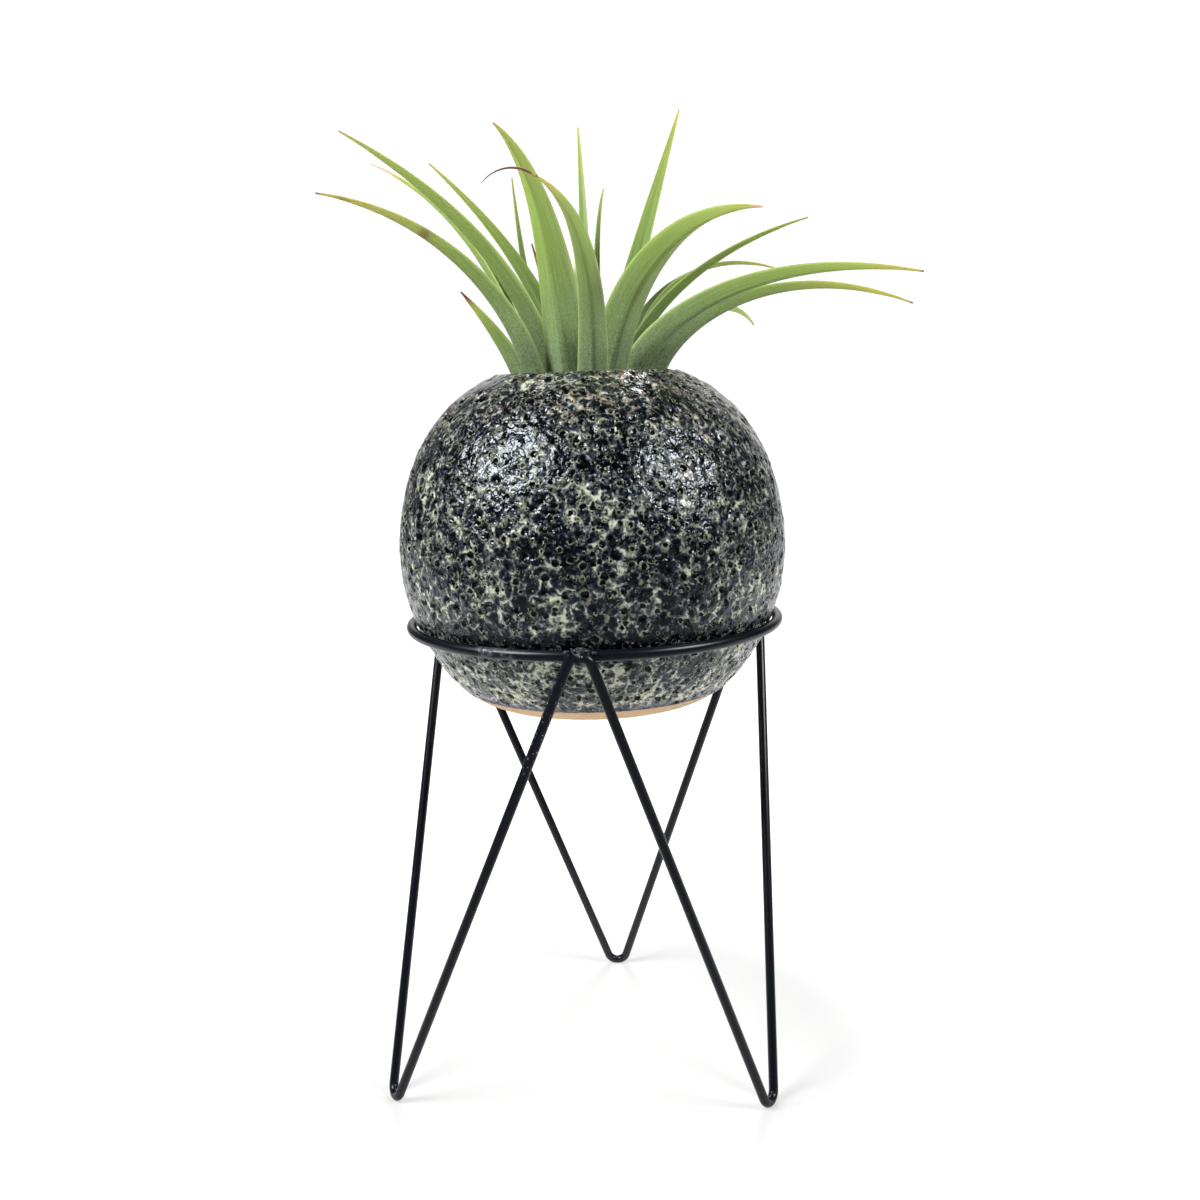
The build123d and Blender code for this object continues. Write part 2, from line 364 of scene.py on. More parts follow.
@dataclass(frozen=True)
class BlackEnamel:
    """Sprayed black enamel on steel rod: blue-black semi-gloss, slightly wavy, with dust, nicks and a ground patch."""

    colour: str = "#080b14"
    scuff: str = "#5b616b"
    nick: str = "#b4b9c1"
    ripple: float = 1.6
    speck: float = 0.5
    scuff_length: float = 7.0
    dust_span: Span = (0.74, 0.82, 0.4)
    scuff_span: Span = (0.68, 0.76, 0.4)
    ground_span: Span = (0.46, 0.66, 0.6)
    nick_span: Span = (0.69, 0.74, 0.85)
    rough_span: Span = (0, 1, 0.6, 0.3)
    ground_place: Point = (-17.5, -39.4, 112.6)
    ground_reach: float = 5.5
    nick_place: Point = (-8.0, -43.0, 97.5)
    nick_reach: float = 13.0
    full_share: float = 0.6

    def near(self, graph: Graph, place: Socket, middle: Point, reach: float) -> Socket:
        """Marks the enamel around a point.

        Args:
            graph: the enamel's graph.
            place: place on the rod, in metres.
            middle: the point.
            reach: where the mark ends.

        Returns:
            1 near the point and 0 from its reach on.
        """
        inputs = {0: place, 1: tuple(c * MM for c in middle)}
        away = graph.add("ShaderNodeVectorMath", inputs, operation="DISTANCE").outputs["Value"]
        return graph.span(away, reach * MM, self.full_share * reach * MM)

    def material(self) -> bpy.types.Material:
        """Builds the enamel's nodes."""
        made, graph = start_finish("black_enamel")
        place = graph.place()
        ripple = graph.noise(place, self.ripple, 2.0)
        specks = graph.noise(place, self.speck, 1.0)
        streaks = graph.noise(place, self.scuff_length, 6.0, Roughness=0.75)
        near_ground = self.near(graph, place, self.ground_place, self.ground_reach)
        near_nicks = self.near(graph, place, self.nick_place, self.nick_reach)
        ground = graph.times(graph.span(ripple, *self.ground_span), near_ground)
        worn = graph.math("MAXIMUM", graph.span(specks, *self.dust_span), graph.span(streaks, *self.scuff_span))
        worn = graph.math("MAXIMUM", worn, ground)
        nicks = graph.times(graph.span(specks, *self.nick_span), near_nicks)
        graph.surface(
            {
                "Base Color": graph.mix(nicks, graph.mix(worn, self.colour, self.scuff), self.nick),
                "Roughness": graph.span(worn, *self.rough_span),
                "IOR": 1.5,
                "Specular IOR Level": 0.32,
                "Normal": graph.bump(ripple, depth=0.1, strength=0.25),
            }
        )
        return made


@dataclass(frozen=True)
class WeldMetal:
    """Weld bead under thin paint: rough dark steel whose high spots are rubbed to bare silver."""

    paint: str = "#14171b"
    bare: str = "#c9ccd0"
    grain: float = 0.6
    bare_from: float = 0.57
    bare_rise: float = 0.12
    bare_metal: float = 0.8

    def material(self, name: str) -> bpy.types.Material:
        """Builds the bead's nodes.

        Args:
            name: name of the material.

        Returns:
            The material.
        """
        made, graph = start_finish(name)
        grain = graph.noise(graph.place(), self.grain, 5.0, Roughness=0.7)
        rubbed = graph.span(grain, self.bare_from, self.bare_from + self.bare_rise)
        graph.surface(
            {
                "Base Color": graph.mix(rubbed, self.paint, self.bare),
                "Metallic": graph.times(rubbed, self.bare_metal),
                "Roughness": 0.38,
                "Normal": graph.bump(grain, depth=0.25, strength=0.7),
            }
        )
        return made


@dataclass(frozen=True)
class Craters:
    """Sockets that a crater field adds to a graph: how deep inside a pit and how close to a rim a place is."""

    pit: Socket
    rim: Socket


@dataclass(frozen=True)
class CraterField:
    """Burst bubbles in a glaze: round pits of mixed size, some with a thin pale rim."""

    pitch: float
    smallest: float
    largest: float
    rimmed: float
    warp: float = 0.4
    skew: float = 1.6
    pit_span: Span = (1.0, 0.82)
    rim_span: Span = (1.75, 1.0)

    def add(self, graph: Graph, place: Socket) -> Craters:
        """Adds the pits to a graph, of a finish or of a shaping step alike.

        Args:
            graph: the graph.
            place: place on the glaze before it is pitted, in metres.

        Returns:
            The pits and their rims, both from 0 to 1.
        """
        wobble = graph.noise(place, self.pitch / 2, 2.0, "Color")
        moved = graph.shift(place, wobble, self.warp * self.pitch)
        cells = graph.add("ShaderNodeTexVoronoi", {"Vector": moved, "Scale": 1 / (self.pitch * MM)}).outputs
        chance = graph.add("ShaderNodeSeparateXYZ", {0: cells["Color"]}).outputs
        radius = graph.span(graph.math("POWER", chance[0], self.skew), 0, 1, self.largest, self.smallest)
        share = graph.math("DIVIDE", cells["Distance"], radius)
        pit = graph.span(share, *self.pit_span, soft=True)
        rim = graph.span(share, *self.rim_span, soft=True)
        ring = graph.math("SUBTRACT", rim, pit, use_clamp=True)
        kept = graph.math("GREATER_THAN", chance[1], 1 - self.rimmed)
        return Craters(pit, graph.times(ring, kept))


BIG_CRATERS = CraterField(pitch=2.0, smallest=0.16, largest=0.48, rimmed=0.6)
SMALL_CRATERS = CraterField(pitch=0.95, smallest=0.12, largest=0.44, rimmed=0.4)
REST_PLACE = "rest_place"


@dataclass(frozen=True)
class CraterGlaze:
    """Glossy crater glaze: black and slate under a lace of grey-green skin, pitted where bubbles burst in the fire."""

    # Near-black of the pits: painted shade inside the holes.
    pit: str = "#020203"
    rim: str = "#a9ab90"
    rust: str = "#8a5c34"
    edge: str = "#20243c"
    tones: Tones = (
        (0.0, "#010102"),
        (0.2, "#07090d"),
        (0.36, "#151a23"),
        (0.5, "#2c3137"),
        (0.62, "#4a4d4b"),
        (0.74, "#6f716a"),
        (0.88, "#9c9e8d"),
        (1.0, "#b7b9a3"),
    )
    laces: tuple[tuple[float, float, float], ...] = ((2.7, 0.2, 0.13), (2.7 / 2.3, 0.24, 0.06))
    sway: float = 1.6
    mottle: float = 2.1
    mottle_weight: float = 0.8
    patch: float = 7.0
    patch_weight: float = 0.4
    grain: float = 1.8
    rust_size: float = 2.5
    tone_span: Span = (0.545, 0.9)
    broken_span: Span = (0.38, 0.62, 0.55)
    runs_span: Span = (0.36, 0.56, -0.26)
    rust_spot_span: Span = (0.5, 0.66, 0.5)
    rust_skin_span: Span = (0.68, 0.82)
    pale_heights: Span = (128.0, 100.0)
    pale_weight: float = 0.09
    pool_height: float = 113.6
    pool_reach: Span = (3.4, 0.8)
    rust_heights: Span = (152.0, 164.0)
    edge_heights: Span = (98.2, 97.2)
    edge_weight: float = 0.9
    rim_rise: float = 0.3

    def skin(self, graph: Graph, place: Socket, height: Socket) -> Socket:
        """Adds the skin: veins between the bubbles, thicker towards the foot and washed off above the ring.

        Args:
            graph: the glaze's graph.
            place: place on the glaze, in metres.
            height: its height.

        Returns:
            How thick the skin is.
        """
        swayed = graph.shift(place, graph.noise(place, self.sway, 3.0, "Color"), self.sway)
        layers = []
        for pitch, width, weight in self.laces:
            inputs = {"Vector": swayed, "Scale": 1 / (pitch * MM)}
            cells = graph.add("ShaderNodeTexVoronoi", inputs, feature="DISTANCE_TO_EDGE")
            layers.append(graph.span(cells.outputs["Distance"], width, 0, weight, soft=True))
        mottle = graph.noise(place, self.mottle, 5.0, Roughness=0.6, Distortion=0.3)
        patch = graph.noise(place, self.patch, 2.0)
        layers.append(graph.span(mottle, 0, 1, self.mottle_weight))
        layers.append(graph.span(patch, 0, 1, self.patch_weight))
        layers.append(graph.span(height, *(h * MM for h in self.pale_heights), self.pale_weight))
        apart = graph.math("ABSOLUTE", graph.math("SUBTRACT", height, self.pool_height * MM))
        pool = graph.span(apart, *(reach * MM for reach in self.pool_reach))
        layers.append(graph.times(pool, graph.span(patch, *self.runs_span)))
        total = layers[0]
        for layer in layers[1:]:
            total = graph.math("ADD", total, layer)
        return total

    def material(self) -> bpy.types.Material:
        """Builds the glaze's nodes."""
        made, graph = start_finish("crater_glaze")
        place = graph.attribute(REST_PLACE, "Vector")
        height = graph.add("ShaderNodeSeparateXYZ", {0: place}).outputs[2]
        big = BIG_CRATERS.add(graph, place)
        small = SMALL_CRATERS.add(graph, place)
        skin = self.skin(graph, place, height)
        grain = graph.noise(place, self.grain, 3.0, Roughness=0.5)
        rims = graph.math("MAXIMUM", big.rim, small.rim)
        pits = graph.math("MAXIMUM", big.pit, small.pit)
        rust_spot = graph.span(graph.noise(place, self.rust_size, 4.0), *self.rust_spot_span)
        rust_here = graph.times(rust_spot, graph.span(skin, *self.rust_skin_span))
        rust_high = graph.span(height, *(h * MM for h in self.rust_heights))
        edge = graph.span(height, *(h * MM for h in self.edge_heights), self.edge_weight)
        colour = graph.tones(graph.span(skin, *self.tone_span), self.tones)
        # Rims, rust and the glaze's lower edge are its own colours; the near-black laid on the pits is painted shade.
        for share, tint in (
            (graph.times(rims, graph.span(grain, *self.broken_span)), self.rim),
            (graph.times(rust_high, rust_here), self.rust),
            (edge, self.edge),
            (pits, self.pit),
        ):
            colour = graph.mix(share, colour, tint)
        relief = graph.math("SUBTRACT", graph.math("MULTIPLY_ADD", rims, self.rim_rise, grain), pits)
        graph.surface(
            {
                "Base Color": colour,
                "Roughness": 0.09,
                "IOR": 1.5,
                "Specular Tint": (0.86, 0.94, 1.0, 1.0),
                "Normal": graph.bump(relief, depth=0.55, strength=1.0),
            }
        )
        return made


@dataclass(frozen=True)
class BareStoneware:
    """Fired stoneware without glaze: matt tan clay with fine sand, warmer clouds and darker specks."""

    clay: str = "#c4a883"
    warm: str = "#b8966e"
    speck: str = "#7a5636"
    sand: float = 0.5
    blush: float = 14.0
    speck_span: Span = (0.66, 0.76, 0.55)

    def material(self) -> bpy.types.Material:
        """Builds the clay's nodes."""
        made, graph = start_finish("bare_stoneware")
        place = graph.place()
        sand = graph.noise(place, self.sand, 3.0)
        body = graph.mix(graph.noise(place, self.blush, 3.0), self.clay, self.warm)
        graph.surface(
            {
                "Base Color": graph.mix(graph.span(sand, *self.speck_span), body, self.speck),
                "Roughness": 0.82,
                "Normal": graph.bump(sand, depth=0.15, strength=0.4),
            }
        )
        return made


@dataclass(frozen=True)
class LeafSkin:
    """Air plant leaf: green flesh under a frost of pale scales, darker inside the channel, drying from the tip; painted
    shade at the base, painted glow along the edges.
    """

    frost: str = "#a9bc98"
    # Pale yellow-green of the fine veins, also laid along the edges as a painted glow of light through the thin tissue.
    vein_and_edge_glow: str = "#b2c474"
    gold: str = "#b8a64c"
    dry: str = "#6b4630"
    bleached: str = "#d3a993"
    # Greener towards the base; the dark end of both ramps is painted shade where the leaves crowd into the mouth.
    outside: Tones = (
        (0.0, "#243c12"),
        (0.12, "#3d5a1e"),
        (0.3, "#587325"),
        (0.6, "#7a9236"),
        (0.8, "#8ea240"),
        (1.0, "#a8a845"),
    )
    inside: Tones = ((0.0, "#243e0c"), (0.3, "#4c6a1d"), (0.7, "#6c822f"), (1.0, "#949842"))
    scale: float = 0.42
    streak_stretch: Point = (5.0, 2.0, 1.0)
    streak_density: float = 2.0
    streak_span: Span = (0.35, 0.7, 0.28)
    scale_span: Span = (0.3, 0.75, 0.8)
    frost_inside: Span = (0, 1, 0.5, 1)
    frost_along: Span = (0, 0.45, 0.2, 1)
    # Where the painted edge glow lies across the blade.
    edge_glow_span: Span = (0.86, 1.0, 0.55)

    def material(self) -> bpy.types.Material:
        """Builds the leaf's nodes, which read the blade's own attributes."""
        made, graph = start_finish("air_plant_leaf")
        names = ("along", "across", "inner", "golden", "dried", "blush")
        along, across, inner, golden, dried, blush = (graph.attribute(name) for name in names)
        lines = graph.add("ShaderNodeCombineXYZ", {0: across, 1: along}).outputs[0]
        stretched = graph.add("ShaderNodeMapping", {0: lines, 3: self.streak_stretch}).outputs[0]
        inputs = {"Vector": stretched, "Scale": self.streak_density, "Detail": 4.0, "Roughness": 0.65}
        streaks = graph.add("ShaderNodeTexNoise", inputs).outputs[0]
        scales = graph.noise(graph.place(), self.scale, 3.0, Roughness=0.7)
        frost = graph.times(graph.span(scales, *self.scale_span), graph.span(inner, *self.frost_inside))
        frost = graph.times(frost, graph.span(along, *self.frost_along))
        # Colour from base to tip, dark at the base as painted shade.
        colour = graph.mix(inner, graph.tones(along, self.outside), graph.tones(along, self.inside))
        for share, tint in (
            (graph.span(streaks, *self.streak_span), self.vein_and_edge_glow),
            (frost, self.frost),
            # Painted glow of light through the thin edges.
            (graph.span(graph.math("ABSOLUTE", across), *self.edge_glow_span), self.vein_and_edge_glow),
            (golden, self.gold),
            (dried, graph.mix(blush, self.dry, self.bleached)),
        ):
            colour = graph.mix(share, colour, tint)
        graph.surface(
            {
                "Base Color": colour,
                "Roughness": 0.5,
                "IOR": 1.42,
                "Subsurface Weight": 0.06,
                "Subsurface Radius": (0.5, 1.0, 0.2),
                "Subsurface Scale": 0.25 * MM,
                "Normal": graph.bump(scales, depth=0.15, strength=0.25),
            }
        )
        return made


@dataclass(frozen=True)
class DryBase:
    """Dry base of an air plant: brown papery tissue with paler fibres."""

    fibres: Tones = ((0.35, "#4a3521"), (0.7, "#9a7d55"))
    fibre: float = 1.2
    fibre_stretch: Point = (1.0, 1.0, 0.2)

    def material(self) -> bpy.types.Material:
        """Builds the nodes of the dry tissue."""
        made, graph = start_finish("dry_plant_base")
        tall = graph.add("ShaderNodeMapping", {0: graph.place(), 3: self.fibre_stretch}).outputs[0]
        fibres = graph.noise(tall, self.fibre, 4.0)
        graph.surface(
            {
                "Base Color": graph.tones(fibres, self.fibres),
                "Roughness": 0.85,
                "Normal": graph.bump(fibres, depth=0.3, strength=0.6),
            }
        )
        return made


# Pieces

ROD_SIDES = 28
BEND_STEPS = 14


def start_rod(tube: float, place: Vector, heading: Vector) -> bpy.types.Object:
    """Starts a rod with its round section, selected in edit mode.

    Args:
        tube: radius of the rod.
        place: where it starts.
        heading: where it runs to.

    Returns:
        The object that holds it.
    """
    clear_selection()
    turn = heading.to_track_quat("Z", "Y").to_euler()
    bpy.ops.mesh.primitive_circle_add(vertices=ROD_SIDES, radius=tube * MM, location=place * MM, rotation=turn)
    bake_place()
    edit_all()
    return bpy.context.object


def bent_rod(tube: float, corners: Sequence[Vector], radii: Sequence[float]) -> bpy.types.Object:
    """Draws a round rod along straight runs, bent over a pin at each inner corner.

    Args:
        tube: radius of the rod.
        corners: ends and corners of its middle line.
        radii: bend radius at each inner corner.

    Returns:
        The rod, closed at both ends.
    """
    obj = start_rod(tube, corners[0], (corners[1] - corners[0]).normalized())
    here = corners[0]
    for before, corner, after, radius in zip(corners, corners[1:], corners[2:], radii):
        back = (before - corner).normalized()
        ahead = (after - corner).normalized()
        half = back.angle(ahead) / 2
        begin = corner + back * (radius / math.tan(half))
        middle = corner + (back + ahead).normalized() * (radius / math.sin(half))
        axis = back.cross(ahead).normalized()
        bpy.ops.mesh.extrude_region_move(TRANSFORM_OT_translate={"value": (begin - here) * MM})
        bpy.ops.mesh.spin(steps=BEND_STEPS, angle=math.pi - 2 * half, center=middle * MM, axis=axis)
        here = corner + ahead * (radius / math.tan(half))
    bpy.ops.mesh.extrude_region_move(TRANSFORM_OT_translate={"value": (corners[-1] - here) * MM})
    close_up()
    return obj


@dataclass(frozen=True)
class HairpinLeg:
    """One leg: its name, the weld where its hooked end lies, and its foot."""

    name: str
    weld_angle: float
    foot_angle: float
    foot_spread: float


@dataclass
class WireStand:
    """Ring and hairpin legs of black enamelled rod, welded together."""

    hoop_reach: float = 46.45
    seat_latitude: float = 21.6
    ring_height: float = 111.8
    ring_wire: float = 2.4
    ring_step: float = 1.5
    split_angle: float = -117
    split_gap: float = 0.8
    bead_length: float = 3.4
    bead_rise: float = 0.05
    bead_shift: float = 0.08
    bead_lumps: tuple[float, float] = (0.5, 0.08)
    leg_wire: float = 2.2
    foot_bend: float = 2.7
    foot_flat: float = 0.2
    foot_wear: float = 0.16
    hook_bend: float = 1.9
    hook_rise: float = 0.5
    hook_gap: float = 0.1
    end_overrun: float = 1.5
    seat_angle: float = 10
    weld_gap: float = 0.1
    arm_spacing: float = 4.2
    weld_radius: float = 2.0
    weld_shift: float = 0.8
    weld_pitch: float = 120
    weld_lumps: tuple[float, float] = (1.1, 0.45)
    lump_depth: int = 3
    drop_shape: Point = (1.3, 1.1, 0.8)
    drops: tuple[tuple[float, float, float, float], ...] = (
        (-2.6, 0.9, 1.2, 0.5),
        (-1.2, 1.5, 1.52, 0.42),
        (0.4, 1.2, 1.52, 0.5),
        (1.7, 0.9, 1.36, 0.4),
        (2.9, 0.8, 0.96, 0.36),
        (-0.3, 1.6, -1.12, 0.4),
        (0.6, 1.9, 0.32, 0.6),
    )
    legs: tuple[HairpinLeg, ...] = (
        HairpinLeg("leg_front_right", -90, -30.7, 1.063),
        HairpinLeg("leg_back", 30, 89.5, 1.104),
        HairpinLeg("leg_front_left", 150, 204.7, 1.255),
    )

    def __post_init__(self) -> None:
        """Works out the ring's radius and where the leg ends lie on it."""
        self.ring_radius = self.hoop_reach * math.cos(math.radians(self.seat_latitude))
        reach = (self.ring_wire + self.leg_wire) / 2 + self.weld_gap
        self.seat_radius = self.ring_radius + reach * math.cos(math.radians(self.seat_angle))
        self.seat_height = self.ring_height - reach * math.sin(math.radians(self.seat_angle))

    def build(self) -> None:
        """Builds and dresses every piece of the stand."""
        enamel = BlackEnamel().material()
        ring = self.hoop("stand_ring", self.ring_wire / 2, 0, self.split_gap, True)
        dress(ring, enamel, "stand", "black_enamel", "ring")
        tube = self.ring_wire / 2 + self.bead_rise
        bead = self.hoop("stand_ring_weld", tube, self.bead_shift, self.bead_length, False)
        add_lumps(bead, *self.bead_lumps, depth=self.lump_depth)
        ground = WeldMetal(paint="#12151a", bare="#6a717b", bare_from=0.5).material("ground_weld")
        dress(bead, ground, "stand", "ground_weld", "ring_butt_weld")
        for leg in self.legs:
            dress(self.hairpin(leg), enamel, "stand", "black_enamel", leg.name)
        metal = WeldMetal().material("weld_bead")
        for name, leg in zip(("weld_front", "weld_right", "weld_left"), self.legs):
            dress(self.weld("stand_" + name, leg.weld_angle), metal, "stand", "weld_bead", name)

    def hoop(self, name: str, tube: float, shift: float, length: float, gap: bool) -> bpy.types.Object:
        """Spins a piece of the ring.

        Args:
            name: name of the piece.
            tube: radius of its section.
            shift: distance outside the ring's middle line.
            length: length along the ring, at the split.
            gap: true for the ring itself, which leaves that length open.

        Returns:
            The piece, closed at both ends.
        """
        half = math.degrees(length / self.ring_radius / 2)
        start = self.split_angle + (half if gap else -half)
        turn = 360 - 2 * half if gap else 2 * half
        steps = max(12, round(turn / self.ring_step))
        place = polar(start, self.ring_radius + shift, self.ring_height)
        obj = start_rod(tube, place, polar(start + 90, 1, 0))
        bpy.ops.mesh.spin(steps=steps, angle=math.radians(-turn), center=(0, 0, 0), axis=(0, 0, 1))
        close_up()
        return settle(obj, name)

    def hairpin(self, leg: HairpinLeg) -> bpy.types.Object:
        """Bends one leg: hooked end, arm, foot, arm, straight end.

        Args:
            leg: the leg.

        Returns:
            The leg, worn flat under its foot.
        """
        offset = math.degrees(self.arm_spacing / 2 / self.seat_radius)
        hook_seat = polar(leg.weld_angle + offset, self.seat_radius, self.seat_height)
        plain_seat = polar(leg.weld_angle + self.weld_pitch - offset, self.seat_radius, self.seat_height)
        apex = polar(leg.foot_angle, self.ring_radius * leg.foot_spread, self.leg_wire / 2 - self.foot_flat)
        corner = apex
        for _ in range(8):
            up_hook = (hook_seat - corner).normalized()
            up_plain = (plain_seat - corner).normalized()
            half = up_hook.angle(up_plain) / 2
            corner = apex - (up_hook + up_plain).normalized() * self.foot_bend * (1 / math.sin(half) - 1)
        hook_corner = hook_seat + (hook_seat - corner).normalized() * self.hook_rise
        plain_end = plain_seat + (plain_seat - corner).normalized() * self.end_overrun
        hook_end = hook_corner + polar(leg.weld_angle - 90, self.arm_spacing - self.leg_wire - self.hook_gap, 0)
        corners = (hook_end, hook_corner, corner, plain_end)
        obj = bent_rod(self.leg_wire / 2, corners, (self.hook_bend, self.foot_bend))
        edit_all()
        bpy.ops.mesh.bisect(plane_co=(0, 0, 0), plane_no=(0, 0, 1), use_fill=True, clear_inner=True)
        bpy.ops.object.mode_set(mode="OBJECT")
        wear = {"width": self.foot_wear * MM, "segments": 2, "limit_method": "ANGLE"}
        add_modifier(obj, "BEVEL", **wear, angle_limit=math.radians(50))
        return settle(obj, "stand_" + leg.name)

    def weld(self, name: str, angle: float) -> bpy.types.Object:
        """Lays a weld bead into the corner between the ring and two leg ends, with drops of spatter.

        Args:
            name: name of the piece.
            angle: place on the ring.

        Returns:
            The bead.
        """
        clear_selection()
        middle = polar(angle, self.ring_radius + self.weld_shift, self.ring_height)
        bpy.ops.mesh.primitive_ico_sphere_add(subdivisions=5, radius=self.weld_radius * MM, location=middle * MM)
        bead = [bpy.context.object]
        along = polar(angle + 90, 1, 0)
        out = polar(angle, 1, 0)
        for side, reach, rise, size in self.drops:
            place = middle + along * side + out * reach + Vector((0, 0, rise))
            bpy.ops.mesh.primitive_ico_sphere_add(subdivisions=3, radius=size * MM, location=place * MM)
            bpy.ops.transform.resize(value=self.drop_shape)
            bead.append(bpy.context.object)
        take(*bead)
        bpy.ops.object.join()
        obj = settle(bead[0], name, sharp=60)
        add_lumps(obj, *self.weld_lumps, depth=self.lump_depth)
        return obj


@dataclass
class CraterVase:
    """Thrown stoneware vase: a clay body and its crater glaze, spun from one chain of tangent arcs."""

    equator: float = 128.9
    ball: float = 45.0
    belly_arc: float = 55.0
    belly_angle: float = 23
    shoulder_arc: float = 35.0
    lip_arc: float = 2.6
    mouth: float = 18.0
    foot_arc: float = 15.0
    foot_join: float = 45
    foot_margin: float = 1.5
    wall: float = 5.0
    floor: float = 6.0
    glaze: float = 0.8
    glaze_line: float = 47
    glaze_step: float = 0.2
    coat_room: float = 0.5
    glaze_neck: float = 2.0
    glaze_turns: int = 500
    glaze_spacing: float = 0.56
    lip_spacing: float = 0.45
    back_spacing: float = 7.0
    clay_turns: int = 160
    foot_spacing: float = 0.7
    clay_spacing: float = 1.6
    inside_spacing: float = 1.2
    floor_steps: int = 12
    neck_steps: int = 3
    merge: float = 0.02
    pit_depth: float = 0.45
    rim_height: float = 0.1
    lump_size: float = 4.5
    lump_low: float = -0.35
    lump_high: float = 0.3
    smooth_lip: float = 0.6
    smooth_edge: float = 0.25

    def __post_init__(self) -> None:
        """Works out the middles of the arcs and the glaze's lower edge."""
        turn = math.radians(self.belly_angle)
        join = math.radians(self.foot_join)
        step = self.belly_arc - self.shoulder_arc
        self.ball_mid = (0.0, self.equator)
        self.belly_mid = (self.ball - self.belly_arc, self.equator)
        self.shoulder_mid = (self.belly_mid[0] + step * math.cos(turn), self.equator + step * math.sin(turn))
        lip_reach = self.shoulder_arc - self.lip_arc
        self.lip_angle = math.degrees(math.acos((self.mouth + self.lip_arc - self.shoulder_mid[0]) / lip_reach))
        lip_turn = math.radians(self.lip_angle)
        self.lip_mid = (self.mouth + self.lip_arc, self.shoulder_mid[1] + lip_reach * math.sin(lip_turn))
        foot_reach = self.ball - self.foot_arc
        self.foot_mid = (foot_reach * math.cos(join), self.equator - foot_reach * math.sin(join))
        line = math.radians(self.glaze_line)
        self.glaze_edge = (
            self.foot_mid[0] + self.foot_arc * math.cos(line),
            self.foot_mid[1] - self.foot_arc * math.sin(line),
        )

    def outside(self, inset: float) -> list[tuple[tuple[float, float], float, float, float]]:
        """Lists the arcs of the outside, from the glaze's lower edge up over the lip.

        Args:
            inset: distance inside the glaze.

        Returns:
            Middle, radius, start and end angle of each arc.
        """
        return [
            (self.foot_mid, self.foot_arc - inset, -self.glaze_line, -self.foot_join),
            (self.ball_mid, self.ball - inset, -self.foot_join, 0),
            (self.belly_mid, self.belly_arc - inset, 0, self.belly_angle),
            (self.shoulder_mid, self.shoulder_arc - inset, self.belly_angle, self.lip_angle),
            (self.lip_mid, self.lip_arc - inset, self.lip_angle, 180),
        ]

    def begin(self, radius: float, height: float) -> bpy.types.Object:
        """Starts a profile with one selected vertex, in edit mode.

        Args:
            radius: distance from the axis.
            height: height above the floor.

        Returns:
            The object that holds it.
        """
        clear_selection()
        bpy.ops.mesh.primitive_plane_add(size=MM, location=(radius * MM, 0, height * MM))
        bake_place()
        edit_all()
        bpy.ops.mesh.merge(type="CENTER")
        return bpy.context.object

    def sweep(self, middle: tuple[float, float], radius: float, start: float, end: float, spacing: float) -> None:
        """Spins the profile's last vertex along an arc.

        Args:
            middle: middle of the arc, as radius and height.
            radius: radius of the arc.
            start: start angle.
            end: end angle.
            spacing: distance between vertices.
        """
        turn = math.radians(end - start)
        steps = max(2, round(abs(turn) * radius / spacing))
        bpy.ops.mesh.spin(steps=steps, angle=turn, center=(middle[0] * MM, 0, middle[1] * MM), axis=(0, 1, 0))

    def run(self, radius: float, height: float) -> None:
        """Extrudes the profile's last vertex by a change of radius and of height."""
        bpy.ops.mesh.extrude_vertices_move(TRANSFORM_OT_translate={"value": (radius * MM, 0, height * MM)})

    def turn(self, obj: bpy.types.Object, name: str, steps: int) -> bpy.types.Object:
        """Turns a finished profile about the axis and closes the seam.

        Args:
            obj: the profile, in edit mode.
            name: name of the piece.
            steps: steps of the full turn.

        Returns:
            The turned piece.
        """
        bpy.ops.mesh.select_all(action="SELECT")
        bpy.ops.mesh.spin(steps=steps, angle=math.tau, center=(0, 0, 0), axis=(0, 0, 1))
        close_up(self.merge, fill=False)
        return settle(obj, name, sharp=55)

    def build(self) -> None:
        """Builds and dresses the clay and the glaze."""
        dress(self.clay(), BareStoneware().material(), "vase", "bare_stoneware", "clay_body")
        dress(self.coat(), CraterGlaze().material(), "vase", "crater_glaze", "crater_glaze")

    def clay(self) -> bpy.types.Object:
        """Turns the clay body, hollow, from the middle of its foot to the middle of its floor.

        Returns:
            The body.
        """
        foot = self.foot_arc - self.glaze_step
        base = self.foot_mid[1] - foot
        inset = self.glaze + self.wall
        under = self.glaze + self.coat_room
        step = under - self.glaze_step
        line = math.radians(self.glaze_line)
        neck = self.mouth + self.glaze
        inner = self.shoulder_arc - inset
        neck_angle = math.degrees(math.acos((neck - self.shoulder_mid[0]) / inner))
        neck_end = self.shoulder_mid[1] + inner * math.sin(math.radians(neck_angle))
        floor_angle = math.degrees(math.asin((self.equator - base - self.floor) / (self.ball - inset)))
        floor_edge = (self.ball - inset) * math.cos(math.radians(floor_angle))
        obj = self.begin(0, base)
        self.run(self.foot_mid[0] - self.foot_margin, 0)
        self.run(self.foot_margin, 0)
        self.sweep(self.foot_mid, foot, -90, -self.glaze_line, self.foot_spacing)
        self.run(-step * math.cos(line), step * math.sin(line))
        for arc in self.outside(under):
            self.sweep(*arc, self.clay_spacing)
        self.run(self.glaze - under, neck_end - self.lip_mid[1])
        for arc in (
            (self.shoulder_mid, inner, neck_angle, self.belly_angle),
            (self.belly_mid, self.belly_arc - inset, self.belly_angle, 0),
            (self.ball_mid, self.ball - inset, 0, -floor_angle),
        ):
            self.sweep(*arc, self.inside_spacing)
        for _ in range(self.floor_steps):
            self.run(-floor_edge / self.floor_steps, 0)
        return self.turn(obj, "vase_clay", self.clay_turns)

